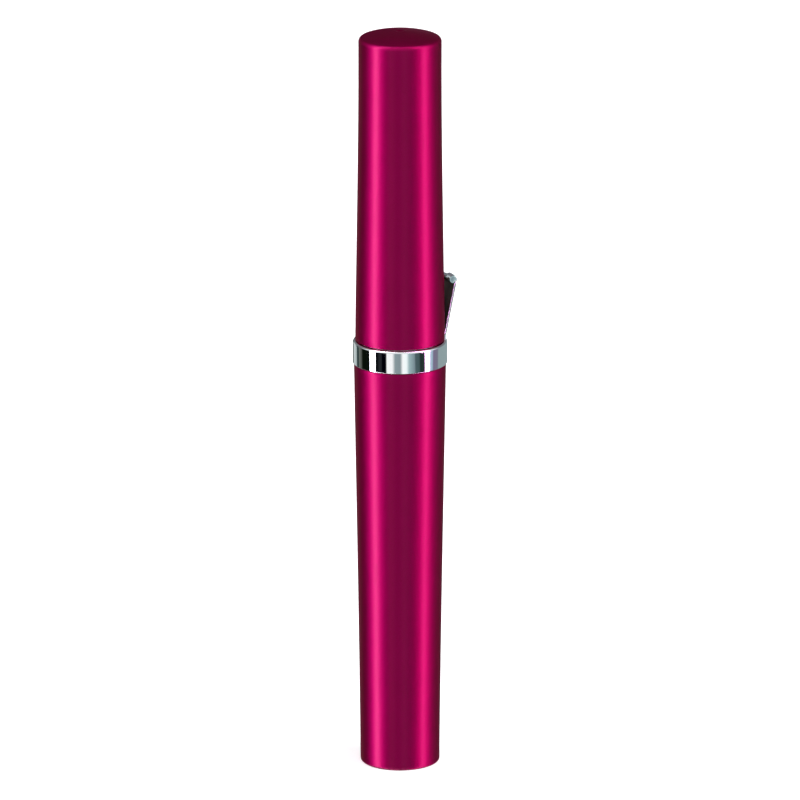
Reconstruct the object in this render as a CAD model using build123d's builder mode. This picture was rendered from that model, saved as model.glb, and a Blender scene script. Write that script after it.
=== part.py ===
"""Battery heated eyelash curler in pen form, with a pull-off cap, a comb head and a pocket clip.

Frame: origin at the centre of the flat bottom, +Z up to the cap, -Y the face with the open scoop
of the comb head, -X the side that the comb teeth and the slide switch face.
"""
import os
from math import cos, radians, sin, sqrt

from build123d import *

os.makedirs("parts", exist_ok=True)

# ---- the cell and what holds it -------------------------------------------------------------
cell_d = 10.5              # AAA can
cell_length = 44.5         # over the nub
nub_d = 3.8
nub_height = 1.0
cell_play = 0.10           # round the can in its trough
trough_wall = 0.60
trough_mouth = -1.8        # the trough is open in front of this y
trough_end = 1.2           # thickness of its lower end wall
spring_length = 4.6        # compressed, under the cell
spring_wire = 0.5
spring_turns = 4
spring_d = 6.0
contact_sheet = 0.30
head_block = 3.0           # solid top of the trough
plug_height = 3.2          # stub of the trough that plugs into the neck
play = 0.03                # between pieces that are pressed together

# ---- lower tube -----------------------------------------------------------------------------
tube_wall = 1.20
tube_floor = 1.80
bottom_space = 6.4         # free height between the floor and the trough
carrier_gap = 0.21         # round the trough in the tube
base_edge = 0.55
sleeve_gap = 0.12          # round the collar's sleeve in the mouth

# ---- neck, collar and ring ------------------------------------------------------------------
neck_r = 6.15
neck_wall = 1.45
relief_x = -1.3            # where the rounded relief of the neck's top left corner begins
relief_drop = 3.0
relief_play = 0.06
neck_above_collar = 22.7
flange_out = 0.85
flange_height = 4.0
sleeve_wall = 0.83
sleeve_length = 11.0
collar_wall = 1.44         # above the ring
collar_show = 2.9          # height above the ring
collar_edge = 0.35
snap_width = 4.8
snap_height = 0.72
snap_depth = 0.60
ring_wall = 1.13           # thickness outside the collar
ring_height = 4.3
ring_lip = 2.0             # the lip that the collar's step sits on
ring_shoulder = 0.45
ring_foot = 0.12           # chamfer
collar_step = 0.32         # in to the stretch that passes the lip
tube_to_ring = 0.10

# ---- slide switch ---------------------------------------------------------------------------
recess_depth = 0.75        # flat on the neck that the knob runs on
recess_start = 3.6         # above the collar
knob_length = 7.9
knob_travel = 3.0
knob_gap = 0.08
knob_groove = 0.30
knob_groove_pitch = 0.75
stem_width = 1.30
stem_height = 2.0
boss_wall = 0.45
boss_play = 0.20
board_thickness = 0.80
board_width = 7.4
board_length = 32.0
switch_depth = 2.6
switch_width = 3.8
switch_height = 9.0

# ---- comb head ------------------------------------------------------------------------------
head_r = 6.17
head_height = 30.1
head_seam = 0.30           # dark line between neck and head
seam_setback = 0.55
nose_start = 5.8           # above the head's foot
apex_x = -2.2
apex_y = -3.1
side_taper = 1.0
facet_width = 4.7
facet_height = 7.2
facet_x = 0.05
facet_depth = 0.40
scoop_turn = -8.0          # the scoop faces a little towards the teeth
scoop_r = 54.0             # hollow, seen from the side
scoop_cross_r = 12.0       # hollow, seen from above
scoop_deepest_z = 22.8     # above the head's foot
scoop_deepest_y = -2.55
tooth_count = 11
tooth_pitch = 1.485
slot_height = 0.72
first_slot_z = 11.15       # above the head's foot
slot_end_x = 0.45
slot_corner_low = 4.2
slot_corner_high = 2.2
tooth_depth = 0.90         # teeth, front to back
shoulder_z = 10.4
shoulder_step = 0.32
fin_tip_x = -4.55
fin_front_y = -3.2
fin_back_y = 0.9
fin_tip_y = -0.9
fin_rise = 0.8             # above the nose

# ---- heater ---------------------------------------------------------------------------------
pad_thickness = 0.90
pad_gap = 0.15
pad_left = -4.45
pad_right = -3.15
plate_left = -2.90
plate_right = 0.25
film_thickness = 0.45
stalk_left = -2.60         # narrow foot of the heater's arm
cavity_left = -4.60
cavity_right = 0.50
cavity_back = 0.90
spigot_depth = 7.6         # how far the heater's carrier goes down into the neck
spigot_rise = 6.4          # and up into the head
wire_way_r = 2.6
lug_r = 5.35               # lug of the carrier that fills the neck's relief
lug_x = -3.6
lead_d = 0.70

# ---- clip -----------------------------------------------------------------------------------
clip_sheet = 0.35
clip_from = 10.0           # degrees round from +X
clip_span = 62.0
clip_lean = 11.0
clip_rise = 11.1
clip_cap_gap = 0.06
clip_lip = 1.0
clip_roll_span = 15.0
clip_notch_span = 4.6
clip_notch_depth = 1.3
clip_roll_r = 0.62
clip_root_gap = 0.08

# ---- cap ------------------------------------------------------------------------------------
cap_head_room = 1.90       # from the fin's tip to the cap's top
cap_seat = 0.15            # above the ring
cap_fit = 0.10             # round the collar
cap_mouth_wall = 0.56
cap_wall = 1.10
cap_head_gap = 0.40        # round the head, at the cap's top
cap_top_wall = 1.00
cap_dome = 1.30
cap_edge = 0.90
gate_r = 0.95
gate_depth = 0.12

# ---- heights, from the bottom up --------------------------------------------------------------
cell_r = cell_d / 2
trough_r = cell_r + cell_play + trough_wall
trough_z = tube_floor + bottom_space
spring_z = trough_z + trough_end + contact_sheet
cell_z = spring_z + spring_length
contact_z = cell_z + cell_length
block_z = contact_z + contact_sheet
flange_z = block_z + head_block
sleeve_z = flange_z + flange_height
ring_z = sleeve_z + sleeve_length
tube_length = ring_z - tube_to_ring
ring_top = ring_z + ring_height
collar_top = ring_top + collar_show
neck_top = collar_top + neck_above_collar
head_z = neck_top + head_seam
head_top = head_z + head_height
cap_z = ring_top + cap_seat
cap_top = head_top + fin_rise + cap_head_room
cap_length = cap_top - cap_z

# ---- radii ------------------------------------------------------------------------------------
base_r = trough_r + carrier_gap + tube_wall
flange_r = neck_r + flange_out
collar_bore = neck_r + play
collar_r = collar_bore + collar_wall
ring_r = collar_r + ring_wall
sleeve_r = collar_bore + sleeve_wall
mouth_bore = sleeve_r + sleeve_gap
tube_top_r = ring_r - 0.22
neck_bore = neck_r - neck_wall
flat_x = neck_r - recess_depth
cap_mouth_bore = collar_r + cap_fit
cap_mouth_r = cap_mouth_bore + cap_mouth_wall
cap_top_r = head_r + cap_head_gap + cap_wall


def keep(part, name):
    """Name a finished piece and write it."""
    part.label = name
    export_step(part, f"parts/{name}.step")


# ---- body tube --------------------------------------------------------------------------------
tube_grow = tube_top_r - base_r
with BuildPart() as body_tube:
    with BuildSketch(Plane.XZ):
        with BuildLine():
            side = Spline(
                (base_r, 0),
                (base_r + 0.28 * tube_grow, 0.35 * tube_length),
                (base_r + 0.65 * tube_grow, 0.69 * tube_length),
                (tube_top_r, tube_length),
            )
            Polyline((tube_top_r, tube_length), (0, tube_length), (0, 0), (base_r, 0))
        make_face()
    revolve(axis=Axis.Z)
    with BuildSketch(Plane.XZ):
        with BuildLine():
            Polyline(
                (0, tube_floor),
                (trough_r + carrier_gap, tube_floor),
                (mouth_bore, flange_z - 2.0),
                (mouth_bore, tube_length),
                (0, tube_length),
                close=True,
            )
        make_face()
    revolve(axis=Axis.Z, mode=Mode.SUBTRACT)
    fillet(body_tube.edges().filter_by(GeomType.CIRCLE).group_by(Axis.Z)[0], base_edge)
keep(body_tube.part, "body_tube")

# ---- chrome ring: lip below, pocket and notch for the clip's foot --------------------------------
clip_in_r = cap_mouth_r + clip_cap_gap
clip_out_r = clip_in_r + clip_sheet
foot_in_r = collar_r + play + 0.10
foot_out_r = foot_in_r + clip_sheet
foot_z = ring_z + 1.0
jog_z = cap_z - 0.90
root_z = cap_z + 0.35


def sector(inner, outer, start, span):
    """Face of a ring sector, with its angles in degrees from +X."""
    a = radians(start)
    m = radians(start + span / 2)
    b = radians(start + span)
    with BuildSketch(mode=Mode.PRIVATE) as shape:
        with BuildLine():
            ThreePointArc(*[(outer * cos(t), outer * sin(t)) for t in (a, m, b)])
            ThreePointArc(*[(inner * cos(t), inner * sin(t)) for t in (a, m, b)])
            Line((inner * cos(a), inner * sin(a)), (outer * cos(a), outer * sin(a)))
            Line((inner * cos(b), inner * sin(b)), (outer * cos(b), outer * sin(b)))
        make_face()
    return shape.sketch


with BuildPart() as chrome_ring:
    with BuildSketch(Plane.XY.offset(ring_z)):
        Circle(ring_r)
    extrude(amount=ring_height)
    fillet(chrome_ring.edges().group_by(Axis.Z)[-1], ring_shoulder)
    chamfer(chrome_ring.edges().group_by(Axis.Z)[0], ring_foot)
    with BuildSketch(Plane.XY.offset(ring_z)):
        Circle(collar_r - collar_step + play)
    extrude(amount=ring_lip, mode=Mode.SUBTRACT)
    with BuildSketch(Plane.XY.offset(ring_z + ring_lip)):
        Circle(collar_r + play)
    extrude(amount=ring_height, mode=Mode.SUBTRACT)
    with BuildSketch(Plane.XY.offset(foot_z)):
        add(sector(collar_r - 0.2, foot_out_r + play, clip_from - 0.4, clip_span + 0.8))
    extrude(amount=ring_height, mode=Mode.SUBTRACT)
    with BuildSketch(Plane.XY.offset(jog_z - play)):
        add(sector(collar_r - 0.2, ring_r + 1, clip_from - 0.4, clip_span + 0.8))
    extrude(amount=ring_height, mode=Mode.SUBTRACT)
keep(chrome_ring.part, "chrome_ring")

# ---- collar -------------------------------------------------------------------------------------
with BuildPart() as collar:
    with BuildSketch(Plane.XY.offset(sleeve_z)):
        Circle(sleeve_r)
    extrude(amount=sleeve_length)
    with BuildSketch(Plane.XY.offset(ring_z)):
        Circle(collar_r - collar_step)
    extrude(amount=ring_lip)
    with BuildSketch(Plane.XY.offset(ring_z + ring_lip)):
        Circle(collar_r)
    extrude(amount=collar_top - ring_z - ring_lip)
    fillet(collar.edges().group_by(Axis.Z)[-1], collar_edge)
    with BuildSketch(Plane.XY.offset(sleeve_z)):
        Circle(collar_bore)
    extrude(amount=collar_top - sleeve_z, mode=Mode.SUBTRACT)
    with BuildSketch(Plane.XY.offset(foot_z)):
        add(sector(foot_in_r - play, ring_r, clip_from - 0.4, clip_span + 0.8))
    extrude(amount=ring_top - foot_z, mode=Mode.SUBTRACT)
    with BuildSketch(Plane.XZ.offset(collar_r - snap_depth)):
        with Locations((0.1, ring_top + 0.6 * collar_show)):
            SlotOverall(snap_width, snap_height)
    extrude(amount=snap_depth + 1, mode=Mode.SUBTRACT)
keep(collar.part, "collar")

# ---- neck housing ----------------------------------------------------------------------------------
recess_z = collar_top + recess_start
knob_z = recess_z + 0.35
stem_z = knob_z + 1.2
window_play = 0.25
boss_z = stem_z - boss_wall
boss_height = stem_height + 2 * boss_wall
window_width = stem_width + 2 * boss_wall + 2 * window_play
window_height = boss_height + knob_travel + 2 * window_play
screw_z = flange_z + flange_height / 2
screw_r = 0.75
screw_head_r = 1.25
screw_head = 0.6
screw_head_sink = 0.1      # below the flange
screw_play = 0.02
screw_tip_x = 3.4
screw_seat_x = flange_r - screw_head - screw_head_sink


def relief_corner(gap):
    """Face outside the quarter ellipse that rounds the neck's top left corner, at a gap from it."""
    foot = neck_top - relief_drop
    with BuildSketch(mode=Mode.PRIVATE) as shape:
        with BuildLine():
            EllipticalCenterArc(
                (relief_x, foot), flat_x + relief_x + gap, relief_drop + gap, start_angle=90, arc_size=90
            )
            Polyline(
                (-flat_x - gap, foot),
                (-neck_r - 1, foot),
                (-neck_r - 1, neck_top + 1),
                (relief_x, neck_top + 1),
                (relief_x, neck_top + gap),
            )
        make_face()
    return shape.sketch


with BuildPart() as neck_housing:
    with BuildSketch(Plane.XY.offset(flange_z)):
        Circle(flange_r)
    extrude(amount=flange_height)
    with BuildSketch(Plane.XY.offset(flange_z)):
        Circle(neck_r)
    extrude(amount=neck_top - flange_z)
    with BuildSketch(Plane.XY.offset(flange_z)):
        Circle(neck_bore)
    extrude(amount=neck_top - flange_z, mode=Mode.SUBTRACT)
    with BuildSketch(Plane.XY.offset(recess_z)):
        with Locations((-flat_x - 2, 0)):
            Rectangle(4, 2 * neck_r)
    extrude(amount=neck_top - recess_z, mode=Mode.SUBTRACT)
    with BuildSketch(Plane.YZ.offset(-neck_r - 1)):
        with Locations((0, boss_z - window_play + window_height / 2)):
            Rectangle(window_width, window_height)
    extrude(amount=neck_r - neck_bore + 2, mode=Mode.SUBTRACT)
    with BuildSketch(Plane.XZ):
        add(relief_corner(0))
    extrude(amount=2 * neck_r, both=True, mode=Mode.SUBTRACT)
    for side_sign in (-1, 1):
        with BuildSketch(Plane.YZ.offset(side_sign * (neck_bore - 1))):
            with Locations((0, screw_z)):
                Circle(screw_r + screw_play)
        extrude(amount=side_sign * (flange_r - neck_bore + 2), mode=Mode.SUBTRACT)
        with BuildSketch(Plane.YZ.offset(side_sign * screw_seat_x)):
            with Locations((0, screw_z)):
                Circle(screw_head_r + play)
        extrude(amount=side_sign * 2, mode=Mode.SUBTRACT)
keep(neck_housing.part, "neck_housing")

# ---- comb head: hooded nose, hollow scoop with a facet below it, comb of slots, fin -----------------
nose_z = head_z + nose_start
scoop_x_dir = (cos(radians(scoop_turn)), sin(radians(scoop_turn)), 0)
hollow_z = head_z + scoop_deepest_z
slot_z = [head_z + first_slot_z + i * tooth_pitch for i in range(tooth_count)]
comb_top = slot_z[-1] + slot_height / 2
comb_low = slot_z[0] - slot_height / 2
cavity_top = comb_top + 0.35
spigot_r = neck_bore - play
head_bore = neck_bore + play
spigot_top = head_z + spigot_rise
heater_low = comb_low - 0.6
heater_high = cavity_top - 0.2


def turned(origin_z, normal):
    """Plane through the axis at a height, turned with the scoop: 'z' is level, 'y' faces the scoop."""
    x_dir = Vector(*scoop_x_dir)
    z_dir = Vector(0, 0, 1) if normal == "z" else x_dir.cross(Vector(0, 0, 1))
    return Plane(origin=(0, 0, origin_z), x_dir=x_dir, z_dir=z_dir)


def ogive(t, power, root):
    """Share of the full radius at a share t of the nose's height."""
    return (1 - t**power) ** (1 / root)


def nose_section(t):
    """Centre and radii of the nose's oval section at a share t of its height."""
    right = apex_x + (head_r - apex_x) * ogive(t, 3.8, 1.7)
    left = apex_x - (head_r + apex_x - side_taper * t) * ogive(t, 7, 2)
    back = apex_y + (head_r - apex_y) * ogive(t, 3.0, 1.7)
    front = apex_y - (head_r + apex_y - 0.9 * t) * ogive(t, 10, 2)
    return (left + right) / 2, (front + back) / 2, (right - left) / 2, (back - front) / 2


def slot_end(z):
    """Where a slot ends at its closed end, on the rounded outline of the comb."""
    over = max(z - (comb_top - slot_corner_high), 0)
    under = max((comb_low + slot_corner_low) - z, 0)
    high = slot_corner_high * 0.4 * (1 - sqrt(1 - min(over / slot_corner_high, 1) ** 2))
    low = slot_corner_low * 0.6 * (1 - sqrt(1 - min(under / slot_corner_low, 1) ** 2))
    return slot_end_x - high - low


def behind_scoop(depth, left, right, back, low, high):
    """Block behind the scoop, with its front parallel to the hollow at a depth."""
    with BuildPart(mode=Mode.PRIVATE) as block:
        with BuildSketch(turned(low, "z")):
            with Locations(((left + right) / 2, (back - 8) / 2)):
                Rectangle(right - left, back + 8)
        extrude(amount=high - low)
    drum_axis_y = scoop_deepest_y - scoop_r
    with BuildPart(mode=Mode.PRIVATE) as drum:
        with BuildSketch(turned(hollow_z, "z")):
            with Locations(((left + right) / 2, drum_axis_y + (scoop_r + depth) / 2)):
                Rectangle(right - left + 1, scoop_r + depth)
        revolve(axis=Axis(turned(hollow_z, "z").from_local_coords(Vector(0, drum_axis_y, 0)), scoop_x_dir))
    return block.part - drum.part


nose_steps = [0, 0.15, 0.32, 0.5, 0.66, 0.79, 0.88, 0.94, 0.98]
scoop_axis_y = scoop_deepest_y - scoop_r
scoop_half = 8.0
fin_root_x = fin_tip_x + 1.3
fin_tip_z = head_top + fin_rise
with BuildPart() as scoop:
    with BuildSketch(turned(hollow_z, "z")):
        with BuildLine():
            rise = scoop_cross_r - sqrt(scoop_cross_r**2 - scoop_half**2)
            ThreePointArc(
                (-scoop_half, scoop_deepest_y - rise),
                (0, scoop_deepest_y),
                (scoop_half, scoop_deepest_y - rise),
            )
            Polyline(
                (scoop_half, scoop_deepest_y - rise),
                (scoop_half, scoop_axis_y),
                (-scoop_half, scoop_axis_y),
                (-scoop_half, scoop_deepest_y - rise),
            )
        make_face()
    revolve(axis=Axis(turned(hollow_z, "z").from_local_coords(Vector(0, scoop_axis_y, 0)), scoop_x_dir))

# fin: pointed blade that carries the comb's left side up past the nose
with BuildPart() as fin:
    with BuildSketch(Plane.XZ):
        with BuildLine():
            Polyline(
                (fin_root_x, comb_top - 1.0),
                (-head_r, comb_top - 1.0),
                (-head_r, fin_tip_z),
                (fin_tip_x + 0.12, fin_tip_z),
            )
            ThreePointArc(
                (fin_tip_x + 0.12, fin_tip_z),
                (fin_tip_x + 0.45, fin_tip_z - 1.6),
                (fin_root_x, comb_top + 1.4),
            )
            Line((fin_root_x, comb_top + 1.4), (fin_root_x, comb_top - 1.0))
        make_face()
    extrude(amount=head_r, both=True)
    with BuildSketch(Plane.YZ):
        with BuildLine():
            fin_half_z = (comb_top + fin_tip_z) / 2
            ThreePointArc((fin_back_y, comb_top - 1.0), (fin_back_y - 0.5, fin_half_z), (fin_tip_y, fin_tip_z))
            ThreePointArc((fin_tip_y, fin_tip_z), (fin_front_y + 0.9, fin_half_z), (fin_front_y, comb_top - 1.0))
            Line((fin_front_y, comb_top - 1.0), (fin_back_y, comb_top - 1.0))
        make_face()
    extrude(amount=2 * head_r, both=True, mode=Mode.INTERSECT)

# slots between the teeth, closed and rounded at their right ends, open at the left
with BuildPart() as slots:
    for z in slot_z:
        end = slot_end(z)
        with BuildSketch(turned(0, "y")):
            with Locations(((end - slot_height / 2 - 9) / 2, z)):
                Rectangle(9 + end - slot_height / 2, slot_height)
            with Locations((end - slot_height / 2, z)):
                Circle(slot_height / 2)
        extrude(amount=9)
        with BuildSketch(turned(z - slot_height / 2, "z")):
            with Locations((cavity_left - 2.2, 0.15)):
                Rectangle(4.4, 0.9)
        extrude(amount=slot_height)

with BuildPart() as comb_head:
    for t in nose_steps:
        middle_x, middle_y, radius_x, radius_y = nose_section(t)
        with BuildSketch(Plane.XY.offset(nose_z + t * (head_top - nose_z))):
            with Locations((middle_x, middle_y)):
                Ellipse(radius_x, radius_y)
    loft()
    with BuildSketch(Plane.XY.offset(head_z)):
        Circle(head_r)
    extrude(amount=nose_z - head_z)
    add(fin.part)
    add(scoop.part, mode=Mode.SUBTRACT)
    # facet below the scoop
    with BuildSketch(Plane.XY.offset(head_z)):
        with Locations((facet_x, -head_r)):
            Rectangle(facet_width, head_r)
        Circle(head_r - facet_depth, mode=Mode.SUBTRACT)
    extrude(amount=facet_height, mode=Mode.SUBTRACT)
    # flat side where the teeth end, from the shoulder to the tip of the fin
    with BuildSketch(Plane.XZ):
        with BuildLine():
            ThreePointArc(
                (-head_r + shoulder_step, head_z + shoulder_z),
                (-head_r + shoulder_step + 0.52, head_z + shoulder_z + 8.0),
                (fin_tip_x - 0.1, fin_tip_z),
            )
            Polyline(
                (fin_tip_x - 0.1, fin_tip_z),
                (fin_tip_x - 0.1, fin_tip_z + 1),
                (-head_r - 1, fin_tip_z + 1),
                (-head_r - 1, head_z + shoulder_z),
                (-head_r + shoulder_step, head_z + shoulder_z),
            )
        make_face()
    extrude(amount=2 * head_r, both=True, mode=Mode.SUBTRACT)
    # lower left corner of the foot
    with BuildSketch(Plane.XZ):
        with BuildLine():
            Polyline(
                (-head_r - 1, head_z - 0.1),
                (-head_r + 1.0, head_z - 0.1),
                (-head_r - 0.2, head_z + 1.0),
                (-head_r - 1, head_z + 1.0),
                close=True,
            )
        make_face()
    extrude(amount=2 * head_r, both=True, mode=Mode.SUBTRACT)
    # bore for the heater's carrier and the space behind the teeth
    with BuildSketch(Plane.XY.offset(head_z)):
        Circle(head_bore)
    extrude(amount=spigot_top - head_z, mode=Mode.SUBTRACT)
    add(
        behind_scoop(tooth_depth, cavity_left, cavity_right, cavity_back, heater_low - 0.2, cavity_top),
        mode=Mode.SUBTRACT,
    )
    add(
        behind_scoop(
            tooth_depth + 0.6, stalk_left - 0.2, cavity_right, cavity_back, spigot_top - 0.1, heater_low
        ),
        mode=Mode.SUBTRACT,
    )
    add(slots.part, mode=Mode.SUBTRACT)
keep(comb_head.part, "comb_head")

# ---- heater in the head ----------------------------------------------------------------------------
plate_depth = tooth_depth + pad_gap
film_depth = plate_depth + pad_thickness
arm_depth = film_depth + film_thickness

with BuildPart() as heater_pad:
    add(behind_scoop(plate_depth, pad_left, pad_right, arm_depth, heater_low, heater_high))
    add(
        behind_scoop(film_depth, pad_left - 1, pad_right + 1, head_r, heater_low - 1, heater_high + 1),
        mode=Mode.SUBTRACT,
    )
keep(heater_pad.part, "heater_pad")

with BuildPart() as heater_plate:
    add(behind_scoop(plate_depth, plate_left, plate_right, arm_depth, heater_low, heater_high))
    add(
        behind_scoop(film_depth, plate_left - 1, plate_right + 1, head_r, heater_low - 1, heater_high + 1),
        mode=Mode.SUBTRACT,
    )
keep(heater_plate.part, "heater_plate")

with BuildPart() as heater_film:
    add(behind_scoop(film_depth, pad_left, plate_right, arm_depth, heater_low, heater_high))
    add(
        behind_scoop(arm_depth, pad_left - 1, plate_right + 1, head_r, heater_low - 1, heater_high + 1),
        mode=Mode.SUBTRACT,
    )
keep(heater_film.part, "heater_film")

lead_x = board_thickness / 2 + lead_d / 2
lead_y = 1.6
lead_top = spigot_top - 1.0
arm_back = cavity_back - 0.1
with BuildPart() as lug:
    with BuildSketch(Plane.XY.offset(neck_top - relief_drop + relief_play)):
        Circle(lug_r)
        with Locations((lug_x + lug_r, 0)):
            Rectangle(2 * lug_r, 2 * lug_r, mode=Mode.SUBTRACT)
    extrude(amount=relief_drop - relief_play)
    with BuildSketch(Plane.XZ):
        add(relief_corner(relief_play))
    extrude(amount=2 * neck_r, both=True, mode=Mode.INTERSECT)

with BuildPart() as heater_carrier:
    with BuildSketch(Plane.XY.offset(neck_top - spigot_depth)):
        Circle(spigot_r)
    extrude(amount=spigot_top - neck_top + spigot_depth)
    with BuildSketch(Plane.XY.offset(neck_top)):
        Circle(head_r - seam_setback)
    extrude(amount=head_seam)
    with BuildSketch(Plane.XY.offset(neck_top - spigot_depth)):
        Circle(wire_way_r)
    extrude(amount=lead_top - neck_top + spigot_depth, mode=Mode.SUBTRACT)
    add(lug.part)
    add(behind_scoop(arm_depth, stalk_left, plate_right, arm_back, spigot_top, heater_low))
    add(behind_scoop(arm_depth, pad_left, plate_right, arm_back, heater_low, heater_high))
keep(heater_carrier.part, "heater_carrier")

# ---- circuit board, its leads and the slide switch ------------------------------------------------------
board_z = flange_z + 4.5
board_top = board_z + board_length
switch_z = stem_z - 1.9
switch_face = -board_thickness / 2 - switch_depth

with BuildPart() as circuit_board:
    with BuildSketch(Plane.XY.offset(board_z)):
        Rectangle(board_thickness, board_width)
    extrude(amount=board_length)
keep(circuit_board.part, "circuit_board")

for name, side_sign in (("heater_lead_positive", 1), ("heater_lead_negative", -1)):
    with BuildPart() as lead:
        with BuildSketch(Plane.XY.offset(board_top - 4.0)):
            with Locations((lead_x, side_sign * lead_y)):
                Circle(lead_d / 2)
        extrude(amount=lead_top - board_top + 4.0)
    keep(lead.part, name)

with BuildPart() as thermal_fuse:
    with BuildSketch(Plane.YZ.offset(board_thickness / 2)):
        with Locations((0, board_top - 12)):
            RectangleRounded(3.2, 6.0, 0.5)
    extrude(amount=1.4)
    fillet(thermal_fuse.faces().sort_by(Axis.X)[-1].edges(), 0.3)
keep(thermal_fuse.part, "thermal_fuse")

with BuildPart() as slide_switch:
    with BuildSketch(Plane.YZ.offset(-board_thickness / 2)):
        with Locations((0, switch_z + switch_height / 2)):
            Rectangle(switch_width, switch_height)
    extrude(amount=-switch_depth)
    with BuildSketch(Plane.YZ.offset(switch_face)):
        with Locations((0, stem_z - 0.2 + (stem_height + knob_travel + 0.5) / 2)):
            Rectangle(stem_width + 0.2, stem_height + knob_travel + 0.5)
    extrude(amount=1.3, mode=Mode.SUBTRACT)
keep(slide_switch.part, "slide_switch")

knob_in_x = flat_x + knob_gap
stem_tip_x = knob_in_x - 0.25
with BuildPart() as switch_actuator:
    with BuildSketch(Plane.YZ.offset(-stem_tip_x)):
        with Locations((0, stem_z + stem_height / 2)):
            Rectangle(stem_width, stem_height)
    extrude(amount=stem_tip_x + switch_face + 1.1)
keep(switch_actuator.part, "switch_actuator")

with BuildPart() as switch_knob:
    with BuildSketch(Plane.XY.offset(knob_z)):
        Circle(neck_r)
        with Locations((neck_r - knob_in_x, 0)):
            Rectangle(2 * neck_r, 3 * neck_r, mode=Mode.SUBTRACT)
    extrude(amount=knob_length)
    with BuildSketch(Plane.YZ.offset(-knob_in_x)):
        with Locations((0, boss_z + boss_height / 2)):
            Rectangle(stem_width + 2 * boss_wall, boss_height)
    extrude(amount=knob_in_x - flat_x + 0.6)
    with BuildSketch(Plane.YZ.offset(-stem_tip_x)):
        with Locations((0, stem_z + stem_height / 2)):
            Rectangle(stem_width + 2 * play, stem_height + 2 * play)
    extrude(amount=2, mode=Mode.SUBTRACT)
    for i in range(3):
        with BuildSketch(Plane.XZ):
            with Locations((-neck_r, knob_z + knob_length - 0.7 - i * knob_groove_pitch)):
                Rectangle(2 * knob_groove, knob_groove)
        extrude(amount=neck_r, both=True, mode=Mode.SUBTRACT)
keep(switch_knob.part, "switch_knob")

# ---- trough, cell and contacts -------------------------------------------------------------------------
strip_width = 2.0
strip_sheet = 0.25
strip_y = trough_r - 0.06
tab_y = 3.9
with BuildPart() as battery_carrier:
    with BuildSketch(Plane.XY.offset(trough_z)):
        Circle(trough_r)
    extrude(amount=flange_z - trough_z)
    with BuildSketch(Plane.XY.offset(flange_z)):
        Circle(neck_bore - play)
    extrude(amount=plug_height)
    with BuildSketch(Plane.XY.offset(trough_z + trough_end)):
        Circle(cell_r + cell_play)
        with Locations((0, trough_mouth - trough_r)):
            Rectangle(2 * trough_r + 1, 2 * trough_r)
    extrude(amount=block_z - trough_z - trough_end, mode=Mode.SUBTRACT)
    with BuildSketch(Plane.XY.offset(trough_z + trough_end)):
        with Locations((0, strip_y - strip_sheet / 2 + 1)):
            Rectangle(strip_width + 0.1, strip_sheet + 2)
    extrude(amount=block_z + 0.9 - trough_z - trough_end, mode=Mode.SUBTRACT)
    with BuildSketch(Plane.XY.offset(trough_z + trough_end)):
        with Locations((0, strip_y - 0.5)):
            Rectangle(strip_width + 0.1, 1.0)
    extrude(amount=contact_sheet, mode=Mode.SUBTRACT)
    for y in (tab_y, -tab_y):
        with BuildSketch(Plane.XY.offset(block_z)):
            with Locations((0, y)):
                Rectangle(strip_width + 0.1, strip_sheet + 2 * play)
        extrude(amount=head_block + plug_height, mode=Mode.SUBTRACT)
    with BuildSketch(Plane.XY.offset(block_z)):
        with Locations((0, (tab_y + strip_y) / 2)):
            Rectangle(strip_width + 0.1, strip_y - tab_y + 0.3)
    extrude(amount=0.9, mode=Mode.SUBTRACT)
    for side_sign in (-1, 1):
        with BuildSketch(Plane.YZ.offset(side_sign * (screw_tip_x - 0.2))):
            with Locations((0, screw_z)):
                Circle(screw_r + screw_play)
        extrude(amount=side_sign * 3, mode=Mode.SUBTRACT)
keep(battery_carrier.part, "battery_carrier")

with BuildPart() as battery:
    with BuildSketch(Plane.XY.offset(cell_z)):
        Circle(cell_r)
    extrude(amount=cell_length - nub_height)
    fillet(battery.edges().filter_by(GeomType.CIRCLE), 0.4)
    with BuildSketch(Plane.XY.offset(cell_z + cell_length - nub_height - 0.2)):
        Circle(nub_d / 2)
    extrude(amount=nub_height + 0.2)
    fillet(battery.edges().group_by(Axis.Z)[-1], 0.2)
keep(battery.part, "battery")

with BuildPart() as negative_spring:
    with BuildLine():
        Helix(
            (spring_length - spring_wire) / spring_turns,
            spring_length - spring_wire,
            spring_d / 2,
            center=(0, 0, spring_z + spring_wire / 2),
        )
    with BuildSketch(Plane(origin=(spring_d / 2, 0, spring_z + spring_wire / 2), z_dir=(0, 1, 0))):
        Circle(spring_wire / 2)
    sweep(is_frenet=True)
keep(negative_spring.part, "negative_spring")

with BuildPart() as return_strip:
    with BuildSketch(Plane.XY.offset(trough_z + trough_end)):
        Circle(3.6)
        with Locations((0, strip_y / 2)):
            Rectangle(strip_width, strip_y)
    extrude(amount=contact_sheet)
    with BuildSketch(Plane.XY.offset(trough_z + trough_end)):
        with Locations((0, strip_y - strip_sheet / 2)):
            Rectangle(strip_width, strip_sheet)
    extrude(amount=block_z + 0.6 - trough_z - trough_end)
    with BuildSketch(Plane.XY.offset(block_z + 0.6 - strip_sheet)):
        with Locations((0, (strip_y + tab_y) / 2)):
            Rectangle(strip_width, strip_y - tab_y + strip_sheet / 2)
    extrude(amount=strip_sheet)
    with BuildSketch(Plane.XY.offset(block_z + 0.6 - strip_sheet)):
        with Locations((0, tab_y)):
            Rectangle(strip_width, strip_sheet)
    extrude(amount=board_z + 3 - block_z)
keep(return_strip.part, "return_strip")

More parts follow.
